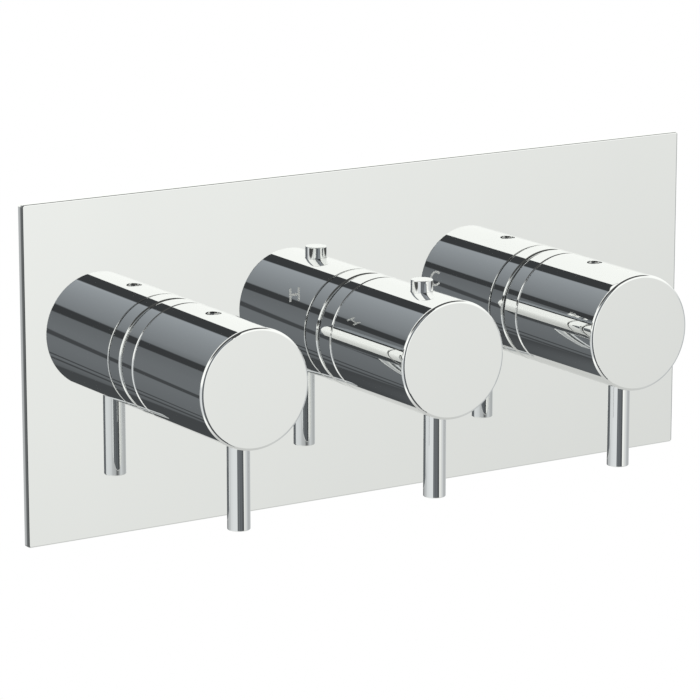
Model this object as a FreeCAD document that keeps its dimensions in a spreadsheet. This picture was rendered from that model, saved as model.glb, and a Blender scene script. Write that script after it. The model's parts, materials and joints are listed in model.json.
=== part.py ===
import FreeCAD, Part
import os
import re
import Sketcher

# A concealed thermostatic shower valve with three controls on one wall plate, in millimetres.
# The origin is the centre of the plate's rear face, which lies on the finished wall: +X is to the
# right as seen from the shower, -Y comes out of the wall, +Y goes into it and +Z is up.

SIZES = {
    # wall plate and its foam seal
    "plate_width": 300,
    "plate_height": 130,
    "plate_depth": 3,
    "plate_skin": 2,
    "plate_rim": 5,
    "plate_corner": 1,
    "plate_edge": 0.5,
    "seal_width": 14,
    "seal_fit": 0.3,
    # sleeves and knobs
    "control_inset": 63,
    "trim_radius": 23,
    "trim_gap": 0.5,
    "plate_hole_fit": 0.3,
    "sleeve_proud": 9.2,
    "sleeve_wall": 2.6,
    "sleeve_fit": 0.1,
    "sleeve_overlap": 14,
    "sleeve_step": 1.6,
    "sleeve_edge": 0.6,
    "sleeve_foot_edge": 1,
    "sleeve_seal_depth": 0.45,
    "sleeve_seal_inset": 0.8,
    "ring_fit": 0.02,
    "knob_reach": 60,
    "knob_wall": 2.5,
    "knob_face": 4,
    "knob_edge": 1.1,
    "back_edge": 0.3,
    # levers
    "lever_radius": 4.35,
    "lever_place": 47.3,
    "lever_drop": 55.6,
    "lever_seat": 0.8,
    "lever_edge": 0.35,
    "spigot_radius": 2.4,
    "spigot_inner": 8,
    "thread_fit": 0.1,
    # hubs and the grub screws that clamp them to the spindles
    "hub_fit": 0.05,
    "hub_length": 32.6,
    "hub_grip": 20,
    "grub_place": 30,
    "grub_radius": 2.6,
    "grub_hole_fit": 0.4,
    "grub_sink": 1,
    "socket_radius": 1.6,
    "socket_depth": 3,
    # push button that releases the temperature stop
    "button_place": 38,
    "button_radius": 4.3,
    "button_proud": 4.4,
    "button_travel": 3,
    "button_fit": 0.08,
    "button_edge": 0.3,
    "button_flange_radius": 5.3,
    "button_flange_depth": 2.5,
    "button_flange_drop": 1.1,
    "button_guide_radius": 2,
    "button_guide_end": 12,
    "button_pocket_fit": 0.3,
    "button_pocket_floor": 8,
    "finger_width": 3,
    "finger_reach": 22,
    "button_coil_radius": 3.6,
    "button_wire": 0.35,
    "button_turns": 5,
    # running fits of everything that turns or slides
    "shaft_radius": 5,
    "shaft_fit": 0.06,
    "coil_fit": 0.1,
    # stop ring on the nose of the thermostat's bonnet
    "nose_radius": 7,
    "nose_reach": 25,
    "stop_ring_fit": 0.05,
    "stop_ring_wall": 1.6,
    "stop_ring_start": 17,
    "stop_ring_length": 7,
    "stop_lug_radius": 18.4,
    "stop_lug_play": 0.6,
    # brass body behind the wall
    "body_front": 8,
    "body_back": 65,
    "pipe_depth": 37,
    "pipe_radius": 12.5,
    "pipe_bore": 7.6,
    "thread_radius": 9.3,
    "thread_length": 15,
    "inlet_drop": 57,
    "outlet_rise": 46,
    "outlet_bore": 7,
    "hot_depth": 31,
    "cold_depth": 43,
    "supply_radius": 8,
    "supply_bore": 4.5,
    "mixed_depth": 56.5,
    "mixed_radius": 8,
    "mixed_bore": 5,
    # thermostatic cartridge
    "thermo_step": 22,
    "thermo_mouth_radius": 18,
    "thermo_bore": 16,
    "thermo_floor": 62,
    "thermo_fit": 0.1,
    "flange_depth": 3,
    "thermo_nut_front": 10,
    "bonnet_radius": 9.8,
    "bonnet_chamber": 7.5,
    "bonnet_wall": 6,
    "cartridge_bore": 13,
    "cartridge_end": 52,
    "cartridge_floor": 3,
    "cartridge_outlet": 6,
    "channel_width": 7,
    "channel_depth": 1.2,
    "window_width": 12,
    "screw_lead": 4,
    "turn_hot": 60,
    "turn_cold": 150,
    "thermo_ring_wire": 0.8,
    "thermo_ring_front": 24.5,
    "thermo_ring_back": 49.5,
    "thermo_groove_fit": 0.1,
    "screw_radius": 4,
    "screw_end": 13.8,
    "thrust_radius": 7.2,
    "thrust_depth": 2,
    "push_nut_end": 21.5,
    "push_nut_floor": 15,
    "key_width": 2,
    "key_rise": 1.2,
    "key_fit": 0.06,
    "overload_pocket": 5.9,
    "overload_cap_depth": 1.5,
    "overload_end": 20,
    "overload_coil_radius": 4.9,
    "overload_wire": 0.5,
    "overload_turns": 3,
    "wax_pin_radius": 1.6,
    "wax_pin_end": 28,
    "wax_neck_radius": 4,
    "wax_radius": 6,
    "wax_shoulder": 30,
    "wax_end": 46,
    "shuttle_wall": 1.5,
    "shuttle_web": 2,
    "shuttle_hub": 1.5,
    "shuttle_port": 1.4,
    "return_coil_radius": 9.4,
    "return_wire": 0.6,
    "return_turns": 4,
    # ceramic disc flow cartridges
    "flow_step": 19,
    "flow_mouth_radius": 14.2,
    "flow_bore": 12,
    "flow_floor": 49.5,
    "flow_fit": 0.2,
    "flow_nut_front": 9,
    "flow_nose_radius": 9.5,
    "flow_nose_front": 6,
    "flow_chamber": 9.15,
    "flow_chamber_front": 25,
    "quarter_turn": 90,
    "flow_stop_depth": 3,
    "flow_lug_width": 3,
    "flow_lug_play": 0.6,
    "flow_window": 3.4,
    "flow_window_depth": 33,
    "flow_ring_depth": 23,
    "flow_ring_wire": 0.7,
    "disc_radius": 9,
    "disc_depth": 3,
    "disc_gap": 0.02,
    "disc_hole": 2.4,
    "disc_hole_place": 5,
    "seat_depth": 2.5,
    "seat_bore": 7.8,
    "driver_depth": 5,
    "driver_fit": 0.3,
    "tang_radius": 4,
    "tang_front": 6,
    "tang_back": 5,
    "socket_wall": 2.4,
    "socket_end": 4,
    "socket_start": 10,
    "tang_fit": 0.05,
    "spindle_ring_depth": 16,
    "spindle_ring_wire": 0.6,
    # check valves and filters in the inlets
    "check_radius": 7.4,
    "check_bore": 5.6,
    "check_bottom": 40,
    "check_top": 22,
    "check_wall": 2,
    "check_seat": 4,
    "poppet_radius": 5,
    "poppet_depth": 1.5,
    "poppet_gap": 0.1,
    "stem_radius": 1.2,
    "stem_fit": 0.08,
    "stem_top": 21.5,
    "check_coil_radius": 2.8,
    "check_wire": 0.35,
    "check_turns": 6,
    "check_port": 1.2,
    "filter_depth": 1.2,
    "filter_hole": 0.7,
    "filter_pitch": 2.2,
    # wall bracket
    "bracket_overhang": 13,
    "bracket_height": 88,
    "bracket_depth": 2,
    "bracket_corner": 8,
    "fixing_inset": 22,
    "fixing_rise": 72,
    "fixing_radius": 3.25,
    "body_screw_place": 14,
    "body_screw_radius": 2.5,
    "body_screw_length": 9,
    "screw_head_radius": 4.25,
    "screw_head_depth": 4,
}

PLACES = {
    # places along X, left and right of the middle control
    "control_pitch": "plate_width / 2 - control_inset",
    "pipe_place": "control_pitch / 2",
    "bracket_width": "2 * (control_pitch + bracket_overhang)",
    "fixing_spread": "2 * (control_pitch - fixing_inset)",
    # depths along Y, from the knobs' faces to the wall
    "plate_front": "-plate_depth",
    "seal_floor": "plate_skin - plate_depth",
    "sleeve_front": "plate_front - sleeve_proud",
    "sleeve_back": "body_front + sleeve_overlap",
    "sleeve_shoulder": "plate_front - sleeve_seal_depth",
    "sleeve_inner": "trim_radius - sleeve_wall",
    "sleeve_neck": "trim_radius - sleeve_step",
    "neck_radius": "sleeve_inner - sleeve_fit",
    "knob_back": "sleeve_front - trim_gap",
    "knob_front": "plate_front - knob_reach",
    "knob_floor": "knob_front + knob_face",
    "knob_inner": "trim_radius - knob_wall",
    "hub_radius": "knob_inner - hub_fit",
    "hub_back": "knob_floor + hub_length",
    "shaft_front": "hub_back - hub_grip",
    "shaft_bore": "shaft_radius + shaft_fit",
    "lever_depth": "plate_front - lever_place",
    "lever_top": "lever_seat - trim_radius",
    "grub_depth": "plate_front - grub_place",
    # heights on the push button, above the knob's axis
    "button_depth": "plate_front - button_place",
    "button_top": "trim_radius + button_proud",
    "flange_top": "knob_inner - button_flange_drop",
    "flange_bottom": "flange_top - button_flange_depth",
    "slot_floor": "flange_bottom - button_travel - button_pocket_fit",
    "finger_angle": "2 * asin(finger_width / 2 / (flange_bottom - button_travel)) / 1 deg",
    "stop_lug_angle": "360 - turn_hot - turn_cold - finger_angle - 2 * stop_lug_play",
    # thermostatic cartridge
    "cartridge_radius": "thermo_bore - thermo_fit",
    "thermo_ring_radius": "thermo_bore - thermo_ring_wire",
    "thermo_ring_middle": "(hot_depth + cold_depth) / 2",
    "shuttle_radius": "cartridge_bore - shaft_fit",
    "shuttle_inner": "shuttle_radius - shuttle_wall",
    "hot_travel": "screw_lead * turn_hot / 360",
    "cold_travel": "screw_lead * turn_cold / 360",
    "window_depth": "hot_travel + cold_travel",
    "shuttle_start": "hot_depth - window_depth / 2 + cold_travel",
    "shuttle_end": "cold_depth - window_depth / 2 + cold_travel",
    "web_start": "(shuttle_start + shuttle_end - shuttle_web) / 2",
    "web_end": "(shuttle_start + shuttle_end + shuttle_web) / 2",
    "wax_bore": "wax_radius + tang_fit",
    "key_root": "overload_pocket + coil_fit",
    "thrust_start": "bonnet_wall + shaft_fit",
    "thrust_end": "thrust_start + thrust_depth",
    "push_nut_start": "thrust_end + cold_travel + coil_fit",
    # ceramic disc cartridges, stacked up from the seat in the body
    "housing_radius": "flow_bore - flow_fit",
    "housing_end": "flow_floor - seat_depth",
    "fixed_disc_start": "housing_end - disc_depth",
    "moving_disc_start": "fixed_disc_start - disc_gap - disc_depth",
    "driver_start": "moving_disc_start - driver_depth",
    "flow_stop_inner": "shaft_radius + driver_fit",
    "flow_stop_end": "flow_chamber_front + flow_stop_depth",
    "flow_lug_angle": "2 * asin(flow_lug_width / 2 / flow_stop_inner) / 1 deg",
    "flow_stop_angle": "360 - quarter_turn - flow_lug_angle - 2 * flow_lug_play",
    "flow_ring_radius": "flow_bore - flow_ring_wire - ring_fit",
    "spindle_ring_radius": "shaft_bore + spindle_ring_wire + ring_fit",
    # check valves, heights on the inlet's axis
    "poppet_bottom": "check_wall - check_bottom + poppet_gap",
    "poppet_top": "poppet_bottom + poppet_depth",
    "guide_bottom": "-check_top - check_wall",
    "bracket_back": "body_back + bracket_depth",
}

doc = FreeCAD.newDocument("thermostatic_shower_valve")
owners = {}
pieces = []


def fill_sheet(label, cells):
    """One sheet of named cells: plain numbers, or formulas that read other cells."""
    sheet = doc.addObject("Spreadsheet::Sheet", label)
    for row, (name, content) in enumerate(cells.items(), start=1):
        owners[name] = label
        text = f"={bind(content)}" if isinstance(content, str) else str(content)
        sheet.set(f"A{row}", name)
        sheet.set(f"B{row}", text)
        sheet.setAlias(f"B{row}", name)
    doc.recompute()
    return sheet


def bind(text):
    """The expression with each name led by the sheet that holds it."""
    return re.sub(r"[a-z_]+", lambda m: f"{owners[m[0]]}.{m[0]}" if m[0] in owners else m[0], text)


def number(text):
    """What an expression of sheet names comes to now."""
    return float(places.evalExpression(bind(text)))


def place(thing, x="0", y="0", z="0", turn=None):
    """Binds where a thing stands, turned first by a rotation of its own."""
    if turn:
        thing.Placement.Rotation = turn
    for letter, text in zip("xyz", (x, y, z)):
        thing.setExpression(f"Placement.Base.{letter}", bind(text))
    return thing


def keep(thing, label):
    """Names a finished piece and puts it on the list of pieces to write."""
    thing.Label = label
    pieces.append(thing)
    return thing


# ---- sketches ----


def new_body(x="0", y="0", z="0", turn=None):
    return place(doc.addObject("PartDesign::Body", "body"), x, y, z, turn)


def new_sketch(body, plane, height="0"):
    """A sketch on one of the body's origin planes, raised along the plane's normal."""
    sketch = body.newObject("Sketcher::SketchObject", "sketch")
    support = next(f for f in body.Origin.OriginFeatures if f.Role == plane)
    sketch.AttachmentSupport = [(support, "")]
    sketch.MapMode = "FlatFace"
    sketch.setExpression("AttachmentOffset.Base.z", bind(height))
    return sketch


def hold(sketch, line, end, across, along):
    """Ties a point to its two distances from the sketch's origin."""
    for kind, axis, text in (("DistanceX", -2, across), ("DistanceY", -1, along)):
        if text == "0":
            sketch.addConstraint(Sketcher.Constraint("PointOnObject", line, end, axis))
            continue
        tie = Sketcher.Constraint(kind, -1, 1, line, end, number(text))
        sketch.setExpression(f"Constraints[{sketch.addConstraint(tie)}]", bind(text))


def draw_outline(sketch, corners):
    """A closed outline of straight lines through corners given as (across, along)."""
    points = [FreeCAD.Vector(number(across), number(along), 0) for across, along in corners]
    first = sketch.GeometryCount
    for start, end in zip(points, points[1:] + points[:1]):
        sketch.addGeometry(Part.LineSegment(start, end), False)
    for i in range(len(corners)):
        following = (i + 1) % len(corners)
        sketch.addConstraint(Sketcher.Constraint("Coincident", first + i, 2, first + following, 1))
    for i, (across, along) in enumerate(corners):
        hold(sketch, first + i, 1, across, along)
    return sketch


def draw_box(sketch, left, right, low, high):
    return draw_outline(sketch, [(left, low), (right, low), (right, high), (left, high)])


def draw_round(sketch, radius, across="0", along="0"):
    centre = FreeCAD.Vector(number(across), number(along), 0)
    line = sketch.addGeometry(Part.Circle(centre, FreeCAD.Vector(0, 0, 1), number(radius)), False)
    tie = sketch.addConstraint(Sketcher.Constraint("Radius", line, number(radius)))
    sketch.setExpression(f"Constraints[{tie}]", bind(radius))
    hold(sketch, line, 3, across, along)
    return sketch


# ---- features ----


def extrude(body, sketch, length, back=False):
    """Adds the sketch's outline along its normal, or against it with back."""
    pad = body.newObject("PartDesign::Pad", "pad")
    pad.Profile = sketch
    pad.setExpression("Length", bind(length))
    pad.Reversed = back
    doc.recompute()
    return pad


def carve(body, sketch, along, length=None, both=False):
    """Cuts the sketch's outline along its normal, or against it: to a length, or right through."""
    before = body.Shape.Volume
    pocket = body.newObject("PartDesign::Pocket", "pocket")
    pocket.Profile = sketch
    pocket.Reversed = along
    if length:
        pocket.setExpression("Length", bind(length))
    else:
        pocket.Type = "ThroughAll"
        pocket.Midplane = both
    doc.recompute()
    if body.Shape.Volume > before - 1e-3:
        raise RuntimeError(f"a pocket in {body.Label} cuts nothing")
    return pocket


def groove(body, plane, inner, outer, low, high):
    """Turns a square groove into a piece about its own axis."""
    before = body.Shape.Volume
    cut = body.newObject("PartDesign::Groove", "groove")
    cut.Profile = draw_box(new_sketch(body, plane), inner, outer, low, high)
    cut.ReferenceAxis = (cut.Profile[0], ["V_Axis"])
    cut.Angle = 360
    doc.recompute()
    if body.Shape.Volume > before - 1e-3:
        raise RuntimeError("a groove cuts nothing")
    return cut


def sector(body, inner, outer, low, high, span, middle):
    """Adds part of a ring about the piece's axis: its middle is an angle from +X towards -Z."""
    sketch = new_sketch(body, "XY_Plane")
    upright = FreeCAD.Rotation(FreeCAD.Vector(0, 1, 0), 0)
    sketch.AttachmentOffset = FreeCAD.Placement(FreeCAD.Vector(), upright)
    sketch.setExpression("AttachmentOffset.Rotation.Angle", bind(middle))
    turning = body.newObject("PartDesign::Revolution", "turning")
    turning.Profile = draw_box(sketch, inner, outer, low, high)
    turning.ReferenceAxis = (sketch, ["V_Axis"])
    turning.Midplane = True
    turning.setExpression("Angle", bind(span))
    doc.recompute()


def soften(body, radius, wanted):
    """Rounds the edges of the body that wanted() picks."""
    base = body.Tip
    names = [f"Edge{i}" for i, edge in enumerate(base.Shape.Edges, start=1) if wanted(edge)]
    rounding = body.newObject("PartDesign::Fillet", "fillet")
    rounding.Base = (base, names)
    rounding.setExpression("Radius", bind(radius))
    doc.recompute()
    return rounding


def rim(radius, y=None, z=None):
    """Picks the full circles of a radius that lie in one plane of the body."""
    size = number(radius)
    level = number(y if y is not None else z)

    def wanted(edge):
        if not isinstance(edge.Curve, Part.Circle) or abs(edge.Curve.Radius - size) > 1e-4:
            return False
        centre = edge.Curve.Center
        return abs((centre.y if y is not None else centre.z) - level) < 1e-4

    return wanted


def turned(corners, x="0", y="0", z="0", plane="XY_Plane"):
    """A body turned about its local Y (plane XY) or Z (plane XZ), from corners (radius, along)."""
    body = new_body(x, y, z)
    turning = body.newObject("PartDesign::Revolution", "turning")
    turning.Profile = draw_outline(new_sketch(body, plane), corners)
    turning.ReferenceAxis = (turning.Profile[0], ["V_Axis"])
    turning.Angle = 360
    doc.recompute()
    return body


def coil(mean, wire, start, end, turns, x="0", y="0", z="0", plane="XY_Plane"):
    """A helical spring whose wire just fits between two seats."""
    body = new_body(x, y, z)
    low = f"{start} + {wire} + coil_fit"
    height = f"{end} - ({start}) - 2 * ({wire} + coil_fit)"
    helix = body.newObject("PartDesign::AdditiveHelix", "coil")
    helix.Profile = draw_round(new_sketch(body, plane), wire, mean, low)
    helix.ReferenceAxis = (helix.Profile[0], ["V_Axis"])
    helix.Mode = 0
    helix.setExpression("Height", bind(height))
    helix.setExpression("Pitch", bind(f"({height}) / {turns}"))
    doc.recompute()
    return body


# ---- primitives and booleans ----

ALONG = {
    "x": FreeCAD.Rotation(FreeCAD.Vector(0, 0, 1), FreeCAD.Vector(1, 0, 0)),
    "y": FreeCAD.Rotation(FreeCAD.Vector(0, 0, 1), FreeCAD.Vector(0, 1, 0)),
    "z": FreeCAD.Rotation(),
}


def rod(axis, radius, start, end, x="0", y="0", z="0"):
    """A cylinder along one row axis, from start to end on that axis."""
    cylinder = doc.addObject("Part::Cylinder", "rod")
    cylinder.setExpression("Radius", bind(radius))
    cylinder.setExpression("Height", bind(f"{end} - ({start})"))
    base = {"x": x, "y": y, "z": z, axis: start}
    return place(cylinder, base["x"], base["y"], base["z"], ALONG[axis])


def ring_of(inner, outer, start, end, x):
    """A flat ring about a line along Y."""
    return turned([(inner, start), (outer, start), (outer, end), (inner, end)], x)


def o_ring(radius, wire, x="0", y="0"):
    """A rubber ring about a line along Y."""
    ring = doc.addObject("Part::Torus", "ring")
    ring.setExpression("Radius1", bind(radius))
    ring.setExpression("Radius2", bind(wire))
    return place(ring, x, y, "0", ALONG["y"])


def fuse(parts):
    joined = doc.addObject("Part::MultiFuse", "fuse")
    joined.Shapes = parts
    joined.Refine = True
    return joined


def subtract(solid, tools):
    cut = doc.addObject("Part::Cut", "cut")
    cut.Base = solid
    cut.Tool = fuse(tools) if len(tools) > 1 else tools[0]
    return cut


def group(parts):
    """Several alike solids kept as one piece of the list."""
    compound = doc.addObject("Part::Compound", "group")
    compound.Links = parts
    return compound


# ---- trim seen from the shower ----


def make_plate():
    body = new_body()
    half = ("-plate_width / 2", "plate_width / 2", "-plate_height / 2", "plate_height / 2")
    extrude(body, draw_box(new_sketch(body, "XZ_Plane"), *half), "plate_depth")

    def upright(edge):
        ends = edge.Vertexes
        return len(ends) == 2 and abs(ends[0].Y - ends[1].Y) > number("plate_depth") / 2

    soften(body, "plate_corner", upright)
    inner = [f"{side} {'+' if side[0] == '-' else '-'} plate_rim" for side in half]
    carve(body, draw_box(new_sketch(body, "XZ_Plane"), *inner), True, "-seal_floor")
    holes = new_sketch(body, "XZ_Plane")
    for x in CONTROLS.values():
        draw_round(holes, "sleeve_neck + plate_hole_fit", x)
    carve(body, holes, True)
    front = number("plate_front")
    reach = number("plate_width / 2 - plate_rim")

    def outer_front(edge):
        box = edge.BoundBox
        flat = box.YMax - box.YMin < 1e-4 and abs(box.YMax - front) < 1e-4
        outside = max(abs(box.XMax), abs(box.XMin)) > reach
        return flat and (outside or abs(box.ZMax - box.ZMin) < 1e-4)

    soften(body, "plate_edge", outer_front)
    keep(body, "face_plate")


def make_plate_seal():
    body = new_body()
    sketch = new_sketch(body, "XZ_Plane")
    for inset in ("plate_rim + seal_fit", "plate_rim + seal_fit + seal_width"):
        across = f"plate_width / 2 - ({inset})"
        up = f"plate_height / 2 - ({inset})"
        draw_box(sketch, f"-({across})", across, f"-({up})", up)
    extrude(body, sketch, "-seal_floor")
    keep(body, "plate_seal")


def make_sleeve(side, x):
    body = turned(
        [
            ("sleeve_inner", "sleeve_front"),
            ("trim_radius", "sleeve_front"),
            ("trim_radius", "sleeve_shoulder"),
            ("sleeve_neck", "sleeve_shoulder"),
            ("sleeve_neck", "sleeve_back"),
            ("sleeve_inner", "sleeve_back"),
        ],
        x,
    )
    soften(body, "sleeve_edge", rim("trim_radius", y="sleeve_front"))
    soften(body, "sleeve_foot_edge", rim("trim_radius", y="sleeve_shoulder"))
    keep(body, f"{side}_sleeve")


def make_sleeve_seals():
    """Flat black seals under the sleeves' shoulders, just inside their edges."""
    span = ("sleeve_neck + ring_fit", "trim_radius - sleeve_seal_inset")
    seals = [ring_of(*span, "sleeve_shoulder", "plate_front", x) for x in CONTROLS.values()]
    keep(group(seals), "sleeve_seals")


def make_knob(side, x):
    """A hollow cap with a hole for the lever's spigot and one for the grub screw."""
    body = turned(
        [
            ("0", "knob_front"),
            ("trim_radius", "knob_front"),
            ("trim_radius", "knob_back"),
            ("knob_inner", "knob_back"),
            ("knob_inner", "knob_floor"),
            ("0", "knob_floor"),
        ],
        x,
    )
    soften(body, "knob_edge", rim("trim_radius", y="knob_front"))
    soften(body, "back_edge", rim("trim_radius", y="knob_back"))
    seat = new_sketch(body, "XY_Plane", "lever_top")
    carve(body, draw_round(seat, "lever_radius + thread_fit", "0", "lever_depth"), False)
    spigot = draw_round(new_sketch(body, "XY_Plane"), "spigot_radius + thread_fit", "0", "lever_depth")
    carve(body, spigot, False)
    grub = draw_round(new_sketch(body, "XY_Plane"), "grub_radius + grub_hole_fit", "0", "grub_depth")
    carve(body, grub, side != "temperature")
    if side == "temperature":
        button = draw_round(new_sketch(body, "XY_Plane"), "button_radius + button_fit", "0", "button_depth")
        carve(body, button, True)
    keep(body, f"{side}_knob")


def make_lever(side, x):
    body = turned(
        [
            ("0", "-spigot_inner"),
            ("spigot_radius", "-spigot_inner"),
            ("spigot_radius", "lever_top"),
            ("lever_radius", "lever_top"),
            ("lever_radius", "-lever_drop"),
            ("0", "-lever_drop"),
        ],
        x,
        "lever_depth",
        plane="XZ_Plane",
    )
    soften(body, "lever_edge", rim("lever_radius", z="-lever_drop"))
    keep(body, f"{side}_lever")


def make_hub(side, x):
    """A brass insert that carries the lever's thread and is clamped on the spindle."""
    body = turned(
        [
            ("0", "knob_floor"),
            ("hub_radius", "knob_floor"),
            ("hub_radius", "hub_back"),
            ("shaft_bore", "hub_back"),
            ("shaft_bore", "shaft_front - shaft_fit"),
            ("0", "shaft_front - shaft_fit"),
        ],
        x,
    )
    thread = new_sketch(body, "XY_Plane", "-spigot_inner + thread_fit")
    carve(body, draw_round(thread, "spigot_radius + thread_fit", "0", "lever_depth"), False)
    grub = draw_round(new_sketch(body, "XY_Plane"), "grub_radius + thread_fit", "0", "grub_depth")
    carve(body, grub, side != "temperature")
    if side == "temperature":
        pocket = new_sketch(body, "XY_Plane", "button_pocket_floor")
        wide = "button_flange_radius + button_pocket_fit"
        carve(body, draw_round(pocket, wide, "0", "button_depth"), True)
        slot = new_sketch(body, "XY_Plane", "slot_floor")
        half = "finger_width / 2 + button_pocket_fit"
        carve(body, draw_box(slot, f"-({half})", half, "button_depth", "hub_back + finger_width"), True)
    keep(body, f"{side}_hub")


def make_grub_screw(side, x):
    """A headless screw whose inner end meets the spindle, with a hexagon socket."""
    top = "trim_radius - grub_sink"
    shank = rod("z", "grub_radius", "shaft_radius + ring_fit", top)
    socket = doc.addObject("Part::Prism", "socket")
    socket.Polygon = 6
    socket.setExpression("Circumradius", bind("socket_radius"))
    socket.setExpression("Height", bind("2 * socket_depth"))
    place(socket, z=f"{top} - socket_depth")
    screw = subtract(shank, [socket])
    over = FreeCAD.Rotation(FreeCAD.Vector(0, 1, 0), 180 if side == "temperature" else 0)
    place(screw, x, "grub_depth", "0", over)
    keep(screw, f"{side}_grub_screw")


def make_stop_button():
    """The button, its flange under the knob's wall, and the finger that reaches the stop ring."""
    body = turned(
        [
            ("0", "button_guide_end"),
            ("button_guide_radius", "button_guide_end"),
            ("button_guide_radius", "flange_bottom"),
            ("button_flange_radius", "flange_bottom"),
            ("button_flange_radius", "flange_top"),
            ("button_radius", "flange_top"),
            ("button_radius", "button_top"),
            ("0", "button_top"),
        ],
        "0",
        "button_depth",
        plane="XZ_Plane",
    )
    soften(body, "button_edge", rim("button_radius", z="button_top"))
    finger = new_sketch(body, "XZ_Plane")
    draw_box(finger, "-finger_width / 2", "finger_width / 2", "flange_bottom", "flange_top")
    extrude(body, finger, "finger_reach", back=True)
    keep(body, "stop_button")
    spring = coil(
        "button_coil_radius",
        "button_wire",
        "button_pocket_floor",
        "flange_bottom",
        "button_turns",
        "0",
        "button_depth",
        plane="XZ_Plane",
    )
    keep(spring, "stop_button_spring")


def make_stop_ring():
    """A ring on the bonnet's nose whose broad lug ends the temperature knob's travel both ways."""
    inner = "nose_radius + stop_ring_fit"
    outer = f"{inner} + stop_ring_wall"
    ends = ("-stop_ring_start - stop_ring_length", "-stop_ring_start")
    body = turned([(inner, ends[0]), (outer, ends[0]), (outer, ends[1]), (inner, ends[1])])
    sector(body, inner, "stop_lug_radius", *ends, "stop_lug_angle", "90 + (turn_cold - turn_hot) / 2")
    keep(body, "stop_ring")


# ---- brass body behind the wall ----


def make_valve_body():
    """Three cartridge bosses on a mixed-water gallery, with two inlets and two outlets."""
    solids = []
    hollows = []
    for x in CONTROLS.values():
        solids.append(rod("y", "neck_radius", "body_front", "body_back", x))
    solids.append(rod("x", "mixed_radius", "-control_pitch", "control_pitch", y="mixed_depth"))
    hollows.append(rod("x", "mixed_bore", "-control_pitch", "control_pitch", y="mixed_depth"))
    hollows.append(rod("y", "thermo_mouth_radius", "body_front - 1", "thermo_step"))
    hollows.append(rod("y", "thermo_bore", "thermo_step - 1", "thermo_floor"))
    for sign, depth in (("-", "hot_depth"), ("", "cold_depth")):
        x = f"{sign}pipe_place"
        ends = (x, "0") if sign else ("0", x)
        solids.append(rod("x", "supply_radius", *ends, y=depth))
        hollows.append(rod("x", "supply_bore", *ends, y=depth))
        solids.append(rod("z", "pipe_radius", "-inlet_drop", "pipe_radius", x, "pipe_depth"))
        hollows.append(rod("z", "pipe_bore", "-inlet_drop", "pipe_bore", x, "pipe_depth"))
        thread = ("-inlet_drop - 1", "thread_length - inlet_drop")
        hollows.append(rod("z", "thread_radius", *thread, x, "pipe_depth"))
    for sign in ("-", ""):
        x = f"{sign}control_pitch"
        solids.append(rod("z", "pipe_radius", "0", "outlet_rise", x, "pipe_depth"))
        hollows.append(rod("z", "outlet_bore", "0", "outlet_rise", x, "pipe_depth"))
        thread = ("outlet_rise - thread_length", "outlet_rise + 1")
        hollows.append(rod("z", "thread_radius", *thread, x, "pipe_depth"))
        hollows.append(rod("y", "flow_mouth_radius", "body_front - 1", "flow_step", x))
        hollows.append(rod("y", "flow_bore", "flow_step - 1", "flow_floor", x))
        hollows.append(rod("y", "mixed_bore", "flow_floor - 1", "mixed_depth", x))
        for height in ("body_screw_place", "-body_screw_place"):
            hole = "body_screw_radius + thread_fit"
            hollows.append(rod("y", hole, "body_back - body_screw_length", "body_back + 1", x, z=height))
    keep(subtract(fuse(solids), hollows), "valve_body")


def make_bracket():
    """A steel plate behind the body with four holes for the wall and four for the body's screws."""
    body = new_body(y="bracket_back")
    half = ("-bracket_width / 2", "bracket_width / 2", "-bracket_height / 2", "bracket_height / 2")
    extrude(body, draw_box(new_sketch(body, "XZ_Plane"), *half), "bracket_depth")

    def upright(edge):
        ends = edge.Vertexes
        return len(ends) == 2 and abs(ends[0].Y - ends[1].Y) > number("bracket_depth") / 2

    soften(body, "bracket_corner", upright)
    holes = new_sketch(body, "XZ_Plane")
    for x in ("-", ""):
        for z in ("-", ""):
            draw_round(holes, "fixing_radius", f"{x}fixing_spread / 2", f"{z}fixing_rise / 2")
            draw_round(holes, "body_screw_radius + thread_fit", f"{x}control_pitch", f"{z}body_screw_place")
    carve(body, holes, True)
    keep(body, "wall_bracket")
    screws = []
    for x in ("-control_pitch", "control_pitch"):
        for z in ("-body_screw_place", "body_screw_place"):
            inner_end = "body_back + coil_fit - body_screw_length"
            shank = rod("y", "body_screw_radius", inner_end, "bracket_back", x, z=z)
            head = rod("y", "screw_head_radius", "bracket_back", "bracket_back + screw_head_depth", x, z=z)
            screws.append(fuse([shank, head]))
    keep(group(screws), "bracket_screws")


# ---- thermostatic cartridge ----


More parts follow.
